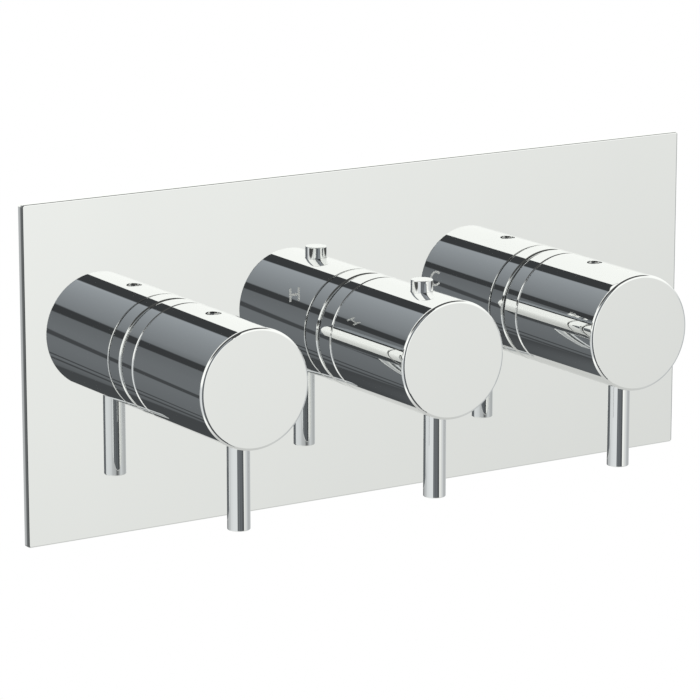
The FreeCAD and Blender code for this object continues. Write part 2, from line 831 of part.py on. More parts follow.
def make_thermo_cartridge():
    sleeve = turned(
        [
            ("cartridge_bore", "thermo_step"),
            ("cartridge_radius", "thermo_step"),
            ("cartridge_radius", "cartridge_end"),
            ("cartridge_outlet", "cartridge_end"),
            ("cartridge_outlet", "cartridge_end - cartridge_floor"),
            ("cartridge_bore", "cartridge_end - cartridge_floor"),
        ]
    )
    rings = []
    for depth in ("thermo_ring_front", "thermo_ring_middle", "thermo_ring_back"):
        wire = "thermo_ring_wire + ring_fit"
        inner = "thermo_bore - 2 * thermo_ring_wire - thermo_groove_fit"
        groove(sleeve, "XY_Plane", inner, "thermo_bore", f"{depth} - ({wire})", f"{depth} + {wire}")
        rings.append(o_ring("thermo_ring_radius", "thermo_ring_wire", y=depth))
    wide = ("-window_width / 2", "window_width / 2")
    for depth in ("hot_depth", "cold_depth"):
        channel = (f"{depth} - channel_width / 2", f"{depth} + channel_width / 2")
        groove(sleeve, "XY_Plane", "cartridge_radius - channel_depth", "thermo_bore", *channel)
        long = (f"{depth} - window_depth / 2", f"{depth} + window_depth / 2")
        carve(sleeve, draw_box(new_sketch(sleeve, "XY_Plane"), *wide, *long), True, both=True)
        carve(sleeve, draw_box(new_sketch(sleeve, "YZ_Plane"), *long, *wide), True, both=True)
    keep(sleeve, "thermo_cartridge_sleeve")
    keep(group(rings), "thermo_o_rings")
    bonnet = turned(
        [
            ("shaft_bore", "-nose_reach"),
            ("nose_radius", "-nose_reach"),
            ("nose_radius", "0"),
            ("bonnet_radius", "0"),
            ("bonnet_radius", "thermo_step - flange_depth"),
            ("thermo_mouth_radius - thermo_fit", "thermo_step - flange_depth"),
            ("thermo_mouth_radius - thermo_fit", "thermo_step"),
            ("bonnet_chamber", "thermo_step"),
            ("bonnet_chamber", "bonnet_wall"),
            ("shaft_bore", "bonnet_wall"),
        ]
    )
    ring_groove(bonnet, "0")
    keyway = new_sketch(bonnet, "XZ_Plane", "-thermo_step")
    key_bars(keyway, "key_fit")
    carve(bonnet, keyway, True, "thermo_step - bonnet_wall")
    keep(bonnet, "thermo_bonnet")
    nut = turned(
        [
            ("bonnet_radius + thermo_fit", "thermo_nut_front"),
            ("thermo_mouth_radius - thermo_fit", "thermo_nut_front"),
            ("thermo_mouth_radius - thermo_fit", "thermo_step - flange_depth"),
            ("bonnet_radius + thermo_fit", "thermo_step - flange_depth"),
        ]
    )
    keep(nut, "thermo_retaining_nut")


def ring_groove(body, middle):
    """A groove inside a spindle's bore that holds its rubber ring."""
    wire = "spindle_ring_wire + ring_fit"
    outer = f"shaft_bore + 2 * ({wire})"
    groove(body, "XY_Plane", "shaft_radius", outer, f"{middle} - ({wire})", f"{middle} + {wire}")


def key_bars(sketch, fit):
    """Two keys, left and right, that stop the push nut from turning in the bonnet."""
    half = f"key_width / 2 + {fit}"
    rise = f"bonnet_chamber - shaft_fit + key_rise + {fit}"
    for low, high in ((f"-({rise})", "-key_root"), ("key_root", rise)):
        draw_box(sketch, low, high, f"-({half})", half)


def make_thermo_drive():
    """The spindle, and what its screw moves along the cartridge."""
    spindle = turned(
        [
            ("0", "shaft_front"),
            ("shaft_radius", "shaft_front"),
            ("shaft_radius", "thrust_start"),
            ("thrust_radius", "thrust_start"),
            ("thrust_radius", "thrust_end"),
            ("screw_radius", "thrust_end"),
            ("screw_radius", "screw_end"),
            ("0", "screw_end"),
        ]
    )
    keep(spindle, "thermo_spindle")
    nut = turned(
        [
            ("screw_radius + shaft_fit", "push_nut_start"),
            ("bonnet_chamber - shaft_fit", "push_nut_start"),
            ("bonnet_chamber - shaft_fit", "push_nut_end"),
            ("overload_pocket", "push_nut_end"),
            ("overload_pocket", "push_nut_floor"),
            ("screw_radius + shaft_fit", "push_nut_floor"),
        ]
    )
    keys = new_sketch(nut, "XZ_Plane", "-push_nut_start")
    key_bars(keys, "0")
    extrude(nut, keys, "push_nut_end - push_nut_start", back=True)
    keep(nut, "thermo_push_nut")
    ends = ("push_nut_floor", "overload_end")
    spring = coil("overload_coil_radius", "overload_wire", *ends, "overload_turns")
    keep(spring, "overload_spring")
    pin_start = "overload_end + overload_cap_depth"
    cap = rod("y", "overload_pocket - coil_fit", "overload_end", pin_start)
    keep(cap, "overload_cap")
    wax = turned(
        [
            ("0", pin_start),
            ("wax_pin_radius", pin_start),
            ("wax_pin_radius", "wax_pin_end"),
            ("wax_neck_radius", "wax_pin_end"),
            ("wax_neck_radius", "wax_shoulder"),
            ("wax_radius", "wax_shoulder"),
            ("wax_radius", "wax_end"),
            ("0", "wax_end"),
        ]
    )
    keep(wax, "wax_element")
    shuttle = turned(
        [
            ("wax_bore", "web_start"),
            ("shuttle_inner", "web_start"),
            ("shuttle_inner", "shuttle_start"),
            ("shuttle_radius", "shuttle_start"),
            ("shuttle_radius", "shuttle_end"),
            ("shuttle_inner", "shuttle_end"),
            ("shuttle_inner", "web_end"),
            ("wax_bore", "web_end"),
        ]
    )
    ports = new_sketch(shuttle, "XZ_Plane")
    for across, up in (("1", "0"), ("-1", "0"), ("0", "1"), ("0", "-1")):
        middle = "(shuttle_inner + wax_bore) / 2"
        draw_round(ports, "shuttle_port", times(across, middle), times(up, middle))
    carve(shuttle, ports, True, both=True)
    keep(shuttle, "thermo_shuttle")
    ends = ("web_end", "cartridge_end - cartridge_floor")
    spring = coil("return_coil_radius", "return_wire", *ends, "return_turns")
    keep(spring, "return_spring")


def times(sign, text):
    """An expression, its opposite, or a plain zero for a point on an axis."""
    return {"0": "0", "1": text, "-1": f"-({text})"}[sign]


# ---- ceramic disc flow cartridges ----


def make_flow_cartridge(side, x):
    housing = turned(
        [
            ("shaft_bore", "flow_nose_front"),
            ("flow_nose_radius", "flow_nose_front"),
            ("flow_nose_radius", "flow_step - flange_depth"),
            ("flow_mouth_radius - flow_fit", "flow_step - flange_depth"),
            ("flow_mouth_radius - flow_fit", "flow_step"),
            ("housing_radius", "flow_step"),
            ("housing_radius", "housing_end"),
            ("flow_chamber", "housing_end"),
            ("flow_chamber", "flow_chamber_front"),
            ("shaft_bore", "flow_chamber_front"),
        ],
        x,
    )
    wire = "flow_ring_wire + ring_fit"
    inner = "flow_ring_radius - flow_ring_wire - ring_fit"
    wide = (f"flow_ring_depth - ({wire})", f"flow_ring_depth + {wire}")
    groove(housing, "XY_Plane", inner, "flow_bore", *wide)
    ring_groove(housing, "spindle_ring_depth")
    window = "flow_window_depth"
    carve(housing, draw_round(new_sketch(housing, "XY_Plane"), "flow_window", "0", window), True, both=True)
    carve(housing, draw_round(new_sketch(housing, "YZ_Plane"), "flow_window", window, "0"), True, both=True)
    outer = "(flow_chamber + housing_radius) / 2"
    stop = ("flow_chamber_front - coil_fit", "flow_stop_end")
    middle = f"90 {'+' if side == 'left' else '-'} quarter_turn / 2"
    sector(housing, "flow_stop_inner", outer, *stop, "flow_stop_angle", middle)
    keep(housing, f"{side}_flow_housing")
    spindle = turned(
        [
            ("0", "-tang_front"),
            ("tang_radius", "-tang_front"),
            ("tang_radius", "tang_back"),
            ("shaft_radius", "tang_back"),
            ("shaft_radius", "driver_start"),
            ("disc_radius - driver_fit", "driver_start"),
            ("disc_radius - driver_fit", "moving_disc_start"),
            ("0", "moving_disc_start"),
        ],
        x,
    )
    disc_holes(spindle, upright=True, start="driver_start", length="driver_depth")
    lug = new_sketch(spindle, "XZ_Plane", "-flow_chamber_front - driver_fit")
    draw_box(lug, "-flow_lug_width / 2", "flow_lug_width / 2", "0", "flow_chamber - driver_fit")
    extrude(spindle, lug, "flow_stop_depth - 2 * driver_fit", back=True)
    keep(spindle, f"{side}_flow_spindle")
    extension = turned(
        [
            ("0", "shaft_front"),
            ("shaft_radius", "shaft_front"),
            ("shaft_radius", "-socket_start"),
            ("tang_radius + socket_wall", "-socket_start"),
            ("tang_radius + socket_wall", "socket_end"),
            ("tang_radius + tang_fit", "socket_end"),
            ("tang_radius + tang_fit", "-tang_front - tang_fit"),
            ("0", "-tang_front - tang_fit"),
        ],
        x,
    )
    keep(extension, f"{side}_spindle_extension")
    for name, start in (("moving", "moving_disc_start"), ("fixed", "fixed_disc_start")):
        end = f"{start} + disc_depth"
        disc = turned([("0", start), ("disc_radius", start), ("disc_radius", end), ("0", end)], x)
        disc_holes(disc, upright=name == "moving")
        keep(disc, f"{side}_{name}_disc")


def disc_holes(body, upright, start="0", length=None):
    """Two water ports, above and below the axis in what turns and beside it in what stays."""
    ports = new_sketch(body, "XZ_Plane", f"-({start})")
    for away in ("disc_hole_place", "-disc_hole_place"):
        across, up = ("0", away) if upright else (away, "0")
        draw_round(ports, "disc_hole", across, up)
    carve(body, ports, not length, length, both=not length)


def make_flow_seals():
    sides = ("-control_pitch", "control_pitch")
    seats = [ring_of("seat_bore", "housing_radius", "housing_end", "flow_floor", x) for x in sides]
    keep(group(seats), "seat_seals")
    rings = [o_ring("flow_ring_radius", "flow_ring_wire", x, "flow_ring_depth") for x in sides]
    keep(group(rings), "housing_o_rings")
    small = [("-control_pitch", "spindle_ring_depth"), ("0", "0"), ("control_pitch", "spindle_ring_depth")]
    rings = [o_ring("spindle_ring_radius", "spindle_ring_wire", x, y) for x, y in small]
    keep(group(rings), "spindle_o_rings")
    bore = "flow_nose_radius + flow_fit"
    rim_radius = "flow_mouth_radius - flow_fit"
    nuts = [ring_of(bore, rim_radius, "flow_nut_front", "flow_step - flange_depth", x) for x in sides]
    keep(group(nuts), "gland_nuts")


# ---- check valves in the inlets ----


def make_check_valve(water, x):
    housing = turned(
        [
            ("check_seat", "-check_bottom"),
            ("check_radius", "-check_bottom"),
            ("check_radius", "-check_top"),
            ("stem_radius + stem_fit", "-check_top"),
            ("stem_radius + stem_fit", "guide_bottom"),
            ("check_bore", "guide_bottom"),
            ("check_bore", "check_wall - check_bottom"),
            ("check_seat", "check_wall - check_bottom"),
        ],
        x,
        "pipe_depth",
        plane="XZ_Plane",
    )
    ports = new_sketch(housing, "XY_Plane", "guide_bottom - check_port")
    for across, along in (("1", "0"), ("-1", "0"), ("0", "1"), ("0", "-1")):
        middle = "(check_bore + stem_radius) / 2"
        draw_round(ports, "check_port", times(across, middle), times(along, middle))
    carve(housing, ports, True)
    keep(housing, f"{water}_check_housing")
    poppet = turned(
        [
            ("0", "poppet_bottom"),
            ("poppet_radius", "poppet_bottom"),
            ("poppet_radius", "poppet_top"),
            ("stem_radius", "poppet_top"),
            ("stem_radius", "-stem_top"),
            ("0", "-stem_top"),
        ],
        x,
        "pipe_depth",
        plane="XZ_Plane",
    )
    keep(poppet, f"{water}_check_poppet")
    ends = ("poppet_top", "guide_bottom")
    where = (x, "pipe_depth")
    spring = coil("check_coil_radius", "check_wire", *ends, "check_turns", *where, plane="XZ_Plane")
    keep(spring, f"{water}_check_spring")


def make_filter(x):
    """A perforated disc under the check valve: a middle hole and two rings of holes."""
    top = "-check_bottom"
    bottom = "-check_bottom - filter_depth"
    body = turned(
        [("0", bottom), ("check_radius", bottom), ("check_radius", top), ("0", top)],
        x,
        "pipe_depth",
        plane="XZ_Plane",
    )
    middle = draw_round(new_sketch(body, "XY_Plane"), "filter_hole")
    carve(body, middle, False)
    for ring, holes in ((1, 6), (2, 12)):
        hole = draw_round(new_sketch(body, "XY_Plane"), "filter_hole", f"{ring} * filter_pitch")
        pocket = carve(body, hole, False)
        pattern = body.newObject("PartDesign::PolarPattern", "holes")
        pattern.Originals = [pocket]
        pattern.Axis = (hole, ["N_Axis"])
        pattern.Angle = 360
        pattern.Occurrences = holes
        body.Tip = pattern
        doc.recompute()
    return body


# ---- build, check and write ----

fill_sheet("Sizes", SIZES)
places = fill_sheet("Places", PLACES)
CONTROLS = {"left": "-control_pitch", "temperature": "0", "right": "control_pitch"}

make_plate()
make_plate_seal()
for side, x in CONTROLS.items():
    make_sleeve("middle" if side == "temperature" else side, x)
    make_knob(side, x)
    make_lever(side, x)
    make_hub(side, x)
    make_grub_screw(side, x)
make_sleeve_seals()
make_stop_button()
make_stop_ring()
make_valve_body()
make_bracket()
make_thermo_cartridge()
make_thermo_drive()
for side in ("left", "right"):
    make_flow_cartridge(side, CONTROLS[side])
make_flow_seals()
for water, x in (("hot", "-pipe_place"), ("cold", "pipe_place")):
    make_check_valve(water, x)
keep(group([make_filter("-pipe_place"), make_filter("pipe_place")]), "inlet_filters")
doc.recompute()

for thing in doc.Objects:
    if "Invalid" in thing.State or "Error" in thing.State:
        raise RuntimeError(f"{thing.Label} failed: {thing.State}")
for piece in pieces:
    if piece.Shape.isNull() or not piece.Shape.isValid() or piece.Shape.Volume <= 0:
        raise RuntimeError(f"{piece.Label} has no valid solid")

os.makedirs("parts", exist_ok=True)
for piece in pieces:
    piece.Shape.exportStep(f"parts/{piece.Label}.step")
    print(piece.Label, len(piece.Shape.Solids), round(piece.Shape.Volume, 1))
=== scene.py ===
import json
import math

import bpy
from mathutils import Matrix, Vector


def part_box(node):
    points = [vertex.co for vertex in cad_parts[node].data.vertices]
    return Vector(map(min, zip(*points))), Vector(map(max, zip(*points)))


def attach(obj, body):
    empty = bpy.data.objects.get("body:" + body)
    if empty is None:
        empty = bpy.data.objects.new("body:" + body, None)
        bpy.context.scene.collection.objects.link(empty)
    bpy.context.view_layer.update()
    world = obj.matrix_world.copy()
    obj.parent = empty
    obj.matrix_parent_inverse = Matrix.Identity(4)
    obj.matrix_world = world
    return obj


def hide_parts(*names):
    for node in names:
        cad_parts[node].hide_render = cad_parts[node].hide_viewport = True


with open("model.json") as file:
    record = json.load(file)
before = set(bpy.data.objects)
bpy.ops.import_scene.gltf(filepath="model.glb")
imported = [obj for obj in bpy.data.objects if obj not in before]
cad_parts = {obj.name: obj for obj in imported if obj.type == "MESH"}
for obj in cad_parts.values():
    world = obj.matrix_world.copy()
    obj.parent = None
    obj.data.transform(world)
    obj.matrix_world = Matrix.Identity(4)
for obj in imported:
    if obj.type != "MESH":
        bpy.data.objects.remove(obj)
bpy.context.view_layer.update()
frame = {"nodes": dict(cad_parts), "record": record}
nodes = frame["nodes"]
scene = bpy.context.scene
white = (1.0, 1.0, 1.0, 1.0)
print("frame loaded:", len(nodes), "nodes")


# One socket of a node tree. Arithmetic on it adds the Math nodes.
class Signal:
    def __init__(self, graph, socket):
        self.graph = graph
        self.socket = socket

    def maths(self, operation, *values):
        return self.graph.add("ShaderNodeMath", {"operation": operation}, dict(enumerate(values)))

    def __add__(self, other):
        return self.maths("ADD", self, other)

    def __radd__(self, other):
        return self.maths("ADD", other, self)

    def __sub__(self, other):
        return self.maths("SUBTRACT", self, other)

    def __rsub__(self, other):
        return self.maths("SUBTRACT", other, self)

    def __mul__(self, other):
        return self.maths("MULTIPLY", self, other)

    def __rmul__(self, other):
        return self.maths("MULTIPLY", other, self)

    def __truediv__(self, other):
        return self.maths("DIVIDE", self, other)

    def __rtruediv__(self, other):
        return self.maths("DIVIDE", other, self)

    def __neg__(self):
        return self.maths("MULTIPLY", self, -1.0)


# A node tree and the one way nodes are added to it.
class Graph:
    def __init__(self, tree):
        self.tree = tree

    def add(self, kind, settings=None, sockets=None, out=0):
        node = self.tree.nodes.new(kind)
        for name, value in (settings or {}).items():
            if name == "stops":
                self.setStops(node.color_ramp, value)
            else:
                setattr(node, name, value)
        for name, value in (sockets or {}).items():
            self.feed(node.inputs[name], value)
        return Signal(self, node.outputs[out]) if node.outputs else node

    def feed(self, socket, value):
        if isinstance(value, Signal):
            self.tree.links.new(value.socket, socket)
        else:
            socket.default_value = value

    def setStops(self, ramp, stops):
        while len(ramp.elements) > 1:
            ramp.elements.remove(ramp.elements[-1])
        for i, (position, colour) in enumerate(stops):
            element = ramp.elements[0] if i == 0 else ramp.elements.new(position)
            element.position = position
            element.color = colour

    def outputs(self, signal, name):
        return Signal(self, signal.socket.node.outputs[name])

    def blend(self, factor, first, second):
        sockets = {0: factor, 6: first, 7: second}
        return self.add("ShaderNodeMix", {"data_type": "RGBA"}, sockets, 2)

    def smooth(self, value, low, high, fromValue=0.0, toValue=1.0):
        limits = {"Value": value, "From Min": low, "From Max": high, "To Min": fromValue,
                  "To Max": toValue}
        return self.add("ShaderNodeMapRange", {"interpolation_type": "SMOOTHSTEP"}, limits)

    def places(self, source="Object"):
        # the three coordinates of the point
        place = self.add("ShaderNodeTexCoord", {}, {}, source)
        x = self.add("ShaderNodeSeparateXYZ", {}, {"Vector": place}, "X")
        return x, self.outputs(x, "Y"), self.outputs(x, "Z")

    def cloud(self, scale, detail=3.0, roughness=0.5, stretch=(1.0, 1.0, 1.0)):
        place = self.add("ShaderNodeTexCoord", {}, {}, "Object")
        if stretch != (1.0, 1.0, 1.0):
            place = self.add("ShaderNodeMapping", {}, {"Vector": place, "Scale": stretch})
        sockets = {"Vector": place, "Scale": scale, "Detail": detail, "Roughness": roughness}
        return self.add("ShaderNodeTexNoise", {}, sockets, "Fac")


def opaque(colour):
    return (*colour, 1.0)


def fromScreen(colour):
    # 0 to 255 screen values to the linear ones that Blender works in
    shares = [value / 255 for value in colour]
    return [((c + 0.055) / 1.055) ** 2.4 if c > 0.04 else c / 12.92 for c in shares]


def seenInChrome(tone, place, share=1.0):
    # the light that shows as this screen tone after its bounces on the chrome
    colour = fromScreen([place["tones"][tone] * part for part in place["tint"]])
    return (*[c / place["mirror"] for c in colour], share)


def newMaterial(name):
    material = bpy.data.materials.new(name)
    material.use_nodes = True
    material.node_tree.nodes.clear()
    return material, Graph(material.node_tree)


def finishMaterial(graph, shader):
    graph.add("ShaderNodeOutputMaterial", {}, {"Surface": shader})


camera = {
    "place": (-0.756977, -1.180928, 0.315109),
    "turnToRight": 32.444,
    "tiltDown": 12.979,
    "lens": 189.32,
    "sensor": 36.0,
    "nearest": 0.05,
}

# the light all round: grey tones as the chrome shows them, and levels for the pale part
studio = {
    "mirror": 0.92,         # light left after a bounce on the chrome
    "pale": (1.447, -0.718, 1.055),     # level straight ahead, change to the right and upwards
    "paleTint": (0.985, 1.0, 0.972),
    "paleRange": (0.62, 1.1),
    "ceiling": (36.0, 46.0, 0.93),      # between these degrees it darkens by this share
    "front": (0.2, 0.5),    # the dark ceiling ends behind the wall
    "low": ((-45.0, -36.0), (-3.0, 4.0)),       # the darker band below the horizon
    "tones": {"dark": 108, "soft": 177, "dim": 191, "bright": 211, "pale": 220},
    "tint": (0.985, 1.0, 1.005),
    # degrees from straight ahead towards +X, tone, how solid
    "lowBand": [
        (-180, "dark", 1),
        (-168, "dark", 1),
        (-157, "soft", 1),
        (-124, "dim", 1),
        (-112, "bright", 1),
        (-80, "pale", 1),
        (-44, "pale", 1),
        (-38, "pale", 0),
        (40, "pale", 0),
        (52, "bright", 1),
        (62, "dim", 1),
        (78, "soft", 1),
        (96, "soft", 1),
        (122, "dim", 1),
        (148, "bright", 1),
        (180, "dark", 1),
    ],
}

# one upright wall of grey and black cards in front of the valve, seen only in the chrome
cards = {
    "depth": -0.9,
    "left": (-0.92, -0.85),
    "size": (-0.95, 0.8, -0.95, 0.95),
    "horizon": (-0.02, 0.02),       # heights between which the upper cards end
    "mirror": 0.846,
    "tones": {"black": 57, "dark": 68, "deep": 91, "dim": 102, "slate": 108, "grey": 125,
              "mid": 152, "pale": 165},
    "tint": (0.965, 1.0, 1.03),
    # turn of each straight edge's normal in degrees, its distance from the middle, softness
    "rightEdge": (3.3, 0.27, 0.004),
    "greyEdge": (13.5, 0.162, 0.016),
    "lowerBlack": (91.3, 0.347, 0.012),
    "lowerGrey": (91.1, 0.236, 0.012),
    "darkEdge": (140.7, -0.215, 0.018),
    "bottomEdge": (0.0, 0.288, 0.018),
    # turn, distance and half width of the thin lines below the horizon
    "lines": [(153.9, 0.471, 0.034), (180.0, 0.366, 0.016), (181.4, 0.301, 0.024)],
    "darkHeights": (-0.62, -0.8),       # between these the dark card lightens
    # degrees about the middle from +X towards +Z, tone, how solid below the horizon
    "greys": [
        (-180, "slate", 1),
        (-150, "slate", 1),
        (-122, "dim", 1),
        (-108, "deep", 1),
        (-52, "deep", 1),
        (-48.5, "mid", 0),
        (60, "pale", 0),
        (84, "pale", 1),
        (90, "mid", 1),
        (142, "grey", 1),
        (156, "dim", 1),
        (180, "slate", 1),
    ],
}

floor = {
    "half": 3.0,
    "height": -0.32,
    "paper": (0.9, 0.9, 0.89),
    "lighter": (0.94, 0.94, 0.93),
    "mottle": 8.0,
}


def makeCamera():
    data = bpy.data.cameras.new("camera")
    data.sensor_width = camera["sensor"]
    data.sensor_fit = "HORIZONTAL"
    data.lens = camera["lens"]
    data.clip_start = camera["nearest"]
    view = bpy.data.objects.new("camera", data)
    view.location = camera["place"]
    tilt, turn = math.radians(90 - camera["tiltDown"]), math.radians(-camera["turnToRight"])
    view.rotation_euler = (tilt, 0, turn)
    scene.collection.objects.link(view)
    scene.camera = view


def toneRound(graph, first, second, name, place):
    # the ramp's tone at the angle that the two signals give
    around = first.maths("ARCTAN2", first, second) / (2 * math.pi) + 0.5
    stops = [((degrees + 180) / 360, seenInChrome(tone, place, share))
             for degrees, tone, share in place[name]]
    return graph.add("ShaderNodeValToRGB", {"stops": stops}, {"Fac": around}, "Color")


def makeStudio():
    world = bpy.data.worlds.new("studio")
    world.use_nodes = True
    world.node_tree.nodes.clear()
    graph = Graph(world.node_tree)
    x, y, z = graph.places("Generated")
    ahead, across, upwards = studio["pale"]
    level = x * across + z * upwards + ahead
    low, high = studio["paleRange"]
    level = level.maths("MINIMUM", level.maths("MAXIMUM", level, low), high)
    height = z.maths("ARCSINE", z) * (180 / math.pi)
    start, end, share = studio["ceiling"]
    overhead = graph.smooth(height, start, end) * (1 - graph.smooth(y, *studio["front"]))
    level = level * (1 - overhead * share)
    pale = graph.add("ShaderNodeVectorMath", {"operation": "SCALE"},
                     {0: studio["paleTint"], "Scale": level})
    band = toneRound(graph, x, -y, "lowBand", studio)
    bottom, top = studio["low"]
    inBand = graph.smooth(height, *bottom) * (1 - graph.smooth(height, *top))
    light = graph.blend(inBand * graph.outputs(band, "Alpha"), pale, band)
    seen = graph.add("ShaderNodeLightPath", {}, {}, "Is Camera Ray")
    light = graph.blend(seen, light, white)
    background = graph.add("ShaderNodeBackground", {}, {"Color": light, "Strength": 1.0})
    graph.add("ShaderNodeOutputWorld", {}, {"Surface": background})
    scene.world = world
    scene.view_settings.view_transform = "Standard"


def stagePlane(name, corners, material):
    mesh = bpy.data.meshes.new(name)
    mesh.from_pydata(corners, [], [(0, 1, 2, 3)])
    mesh.materials.append(material)
    plane = bpy.data.objects.new(name, mesh)
    scene.collection.objects.link(plane)
    return plane


def makeCards():
    material, graph = newMaterial("greyCards")
    x, _, z = graph.places()
    black, dark, deep = (seenInChrome(tone, cards) for tone in ("black", "dark", "deep"))

    def beyond(turn, far):
        turn = math.radians(turn)
        return x * math.cos(turn) + z * math.sin(turn) - far

    def within(edge):
        turn, far, soft = cards[edge]
        return 1 - graph.smooth(beyond(turn, far), -soft, soft)

    greys = toneRound(graph, z, x, "greys", cards)
    upper = graph.smooth(z, *cards["horizon"])
    lower = 1 - upper
    right, grey = within("rightEdge"), within("greyEdge")
    light = graph.blend(upper * right * (1 - grey), greys, black)
    level = within("lowerBlack") * (1 - within("lowerGrey"))
    light = graph.blend(upper * grey * level, light, black)
    for turn, far, half in cards["lines"]:
        away = beyond(turn, far)
        line = 1 - graph.smooth(away.maths("ABSOLUTE", away), half / 2, half)
        light = graph.blend(lower * line, light, dark)
    shade = graph.blend(graph.smooth(z, *cards["darkHeights"]), dark, deep)
    light = graph.blend(lower * within("darkEdge"), light, shade)
    solid = upper * right + lower * within("bottomEdge") * graph.outputs(greys, "Alpha")
    solid = solid * graph.smooth(x, *cards["left"])
    glow = graph.add("ShaderNodeEmission", {}, {"Color": light, "Strength": 1.0})
    clear = graph.add("ShaderNodeBsdfTransparent", {}, {"Color": white})
    finishMaterial(graph, graph.add("ShaderNodeMixShader", {}, {0: solid, 1: clear, 2: glow}))
    left, end, bottom, top = cards["size"]
    y = cards["depth"]
    corners = [(left, y, bottom), (end, y, bottom), (end, y, top), (left, y, top)]
    wall = stagePlane("greyCards", corners, material)
    wall.visible_camera = False
    wall.visible_shadow = False


def makeFloor():
    half, height = floor["half"], floor["height"]
    material, graph = newMaterial("palePaper")
    mottle = graph.cloud(floor["mottle"])
    paper = graph.blend(mottle, opaque(floor["paper"]), opaque(floor["lighter"]))
    matt = graph.add("ShaderNodeBsdfDiffuse", {}, {"Color": paper})
    glow = graph.add("ShaderNodeEmission", {}, {"Color": white, "Strength": 1.0})
    seen = graph.add("ShaderNodeLightPath", {}, {}, "Is Camera Ray")
    finishMaterial(graph, graph.add("ShaderNodeMixShader", {}, {0: seen, 1: matt, 2: glow}))
    corners = [(x * half, y * half, height) for x, y in ((-1, -1), (1, -1), (1, 1), (-1, 1))]
    sheet = stagePlane("studioFloor", corners, material)
    sheet.visible_glossy = False


makeCamera()
makeStudio()
makeCards()
makeFloor()
print("camera, studio and floor made")


def principled(graph, sockets):
    finishMaterial(graph, graph.add("ShaderNodeBsdfPrincipled", {}, sockets))


def bump(graph, distance, height):
    sockets = {"Strength": 1.0, "Distance": distance, "Height": height}
    return graph.add("ShaderNodeBump", {}, sockets)


polish = {
    "colour": (0.92, 0.925, 0.918),
    "dull": (0.9, 0.905, 0.9),
    "roughness": (0.006, 0.022),
    "wiping": (26.0, 4.0, 0.55, (1.0, 1.0, 0.35)),      # scale, detail, roughness, stretch
    "wiped": (0.35, 0.8),       # where in the wiping the roughness grows
    "haze": (900.0, 2.0),
    "hazeRoughness": 0.004,
    "waves": (11.0, 1.0),       # long waves in the plating
    "waveDepth": 0.000004,
}

# painted shade: the chrome of the plate's side faces is darkened, most along the front
plateEdgeShade = {"across": (0.1493, 0.1498), "depth": (-0.0024, -0.001), "colour": (0.17, 0.175, 0.175)}


def polishedChrome(name="polishedChrome", edgeShade=None):
    material, graph = newMaterial(name)
    wiping, haze = graph.cloud(*polish["wiping"]), graph.cloud(*polish["haze"])
    colour = graph.blend(wiping, opaque(polish["colour"]), opaque(polish["dull"]))
    # painted shade: a darker colour on the plate's side faces, most along the front
    if edgeShade:
        x, y, _ = graph.places()
        across = graph.smooth(x.maths("ABSOLUTE", x), *edgeShade["across"])
        paintedShade = across * (1 - graph.smooth(y, *edgeShade["depth"]))
        colour = graph.blend(paintedShade, colour, opaque(edgeShade["colour"]))
    rough = graph.smooth(wiping, *polish["wiped"], *polish["roughness"])
    rough = rough + haze * polish["hazeRoughness"]
    wave = bump(graph, polish["waveDepth"], graph.cloud(*polish["waves"]))
    principled(graph, {"Base Color": colour, "Metallic": 1.0, "Roughness": rough, "Normal": wave})
    return material


casting = {
    "skin": (0.56, 0.42, 0.2),
    "bright": (0.78, 0.6, 0.3),
    "tarnish": (0.4, 0.29, 0.14),
    "machined": ((-0.0535, -0.0525), (0.0425, 0.0435)),     # heights of the ports' turned ends
    "grain": (700.0, 5.0, 0.6),
    "hollows": (0.35, 0.62),
    "patches": (28.0, 4.0),
    "worn": (0.4, 0.75),
    "wear": 0.35,
    "pits": (180.0, 2.0),
    "toolLines": (60.0, 2.0, 0.5, (1.0, 1.0, 60.0)),
    "roughness": (0.52, 0.16, 0.24),    # cast skin, less in the patches, turned ends
    "grainHeight": 0.7,     # against the pits
    "lineHeight": 0.15,
    "depth": 0.00022,
}


def castBrass():
    # sand cast skin, turned clean at the ports' ends, darker in the hollows of the grain
    material, graph = newMaterial("castBrass")
    _, _, z = graph.places()
    bottom, top = casting["machined"]
    turned = (1 - graph.smooth(z, *bottom)) + graph.smooth(z, *top)
    grain, patches = graph.cloud(*casting["grain"]), graph.cloud(*casting["patches"])
    bright, cast = opaque(casting["bright"]), opaque(casting["skin"])
    skin = graph.blend(graph.smooth(grain, *casting["hollows"]), opaque(casting["tarnish"]), cast)
    skin = graph.blend(graph.smooth(patches, *casting["worn"]) * casting["wear"], skin, bright)
    colour = graph.blend(turned, skin, bright)
    castRough, smoother, turnedRough = casting["roughness"]
    rough = (castRough - patches * smoother) * (1 - turned) + turned * turnedRough
    lines = graph.cloud(*casting["toolLines"])
    height = (grain * casting["grainHeight"] + graph.cloud(*casting["pits"])) * (1 - turned)
    height = height + lines * turned * casting["lineHeight"]
    principled(graph, {"Base Color": colour, "Metallic": 1.0, "Roughness": rough,
                       "Normal": bump(graph, casting["depth"], height)})
    return material


# colour, tarnish, least roughness, how the tool lines stretch
metals = {
    "turnedBrass": ((0.76, 0.58, 0.29), (0.52, 0.37, 0.17), 0.2, (1.0, 60.0, 1.0)),
    "stainlessSteel": ((0.62, 0.62, 0.61), (0.46, 0.46, 0.46), 0.24, (8.0, 8.0, 1.0)),
    "copperCapsule": ((0.76, 0.42, 0.27), (0.5, 0.25, 0.16), 0.26, (1.0, 50.0, 1.0)),
}
tooling = {
    "lines": (40.0, 3.0, 0.6),
    "brighter": 1.18,
    "brightShare": 0.3,
    "lineRoughness": 0.12,
    "patches": (90.0, 5.0, 0.6),
    "tarnished": (0.42, 0.72),
    "dulled": (0.4, 0.8),
    "dullRoughness": 0.14,
    "depth": 0.00002,
}


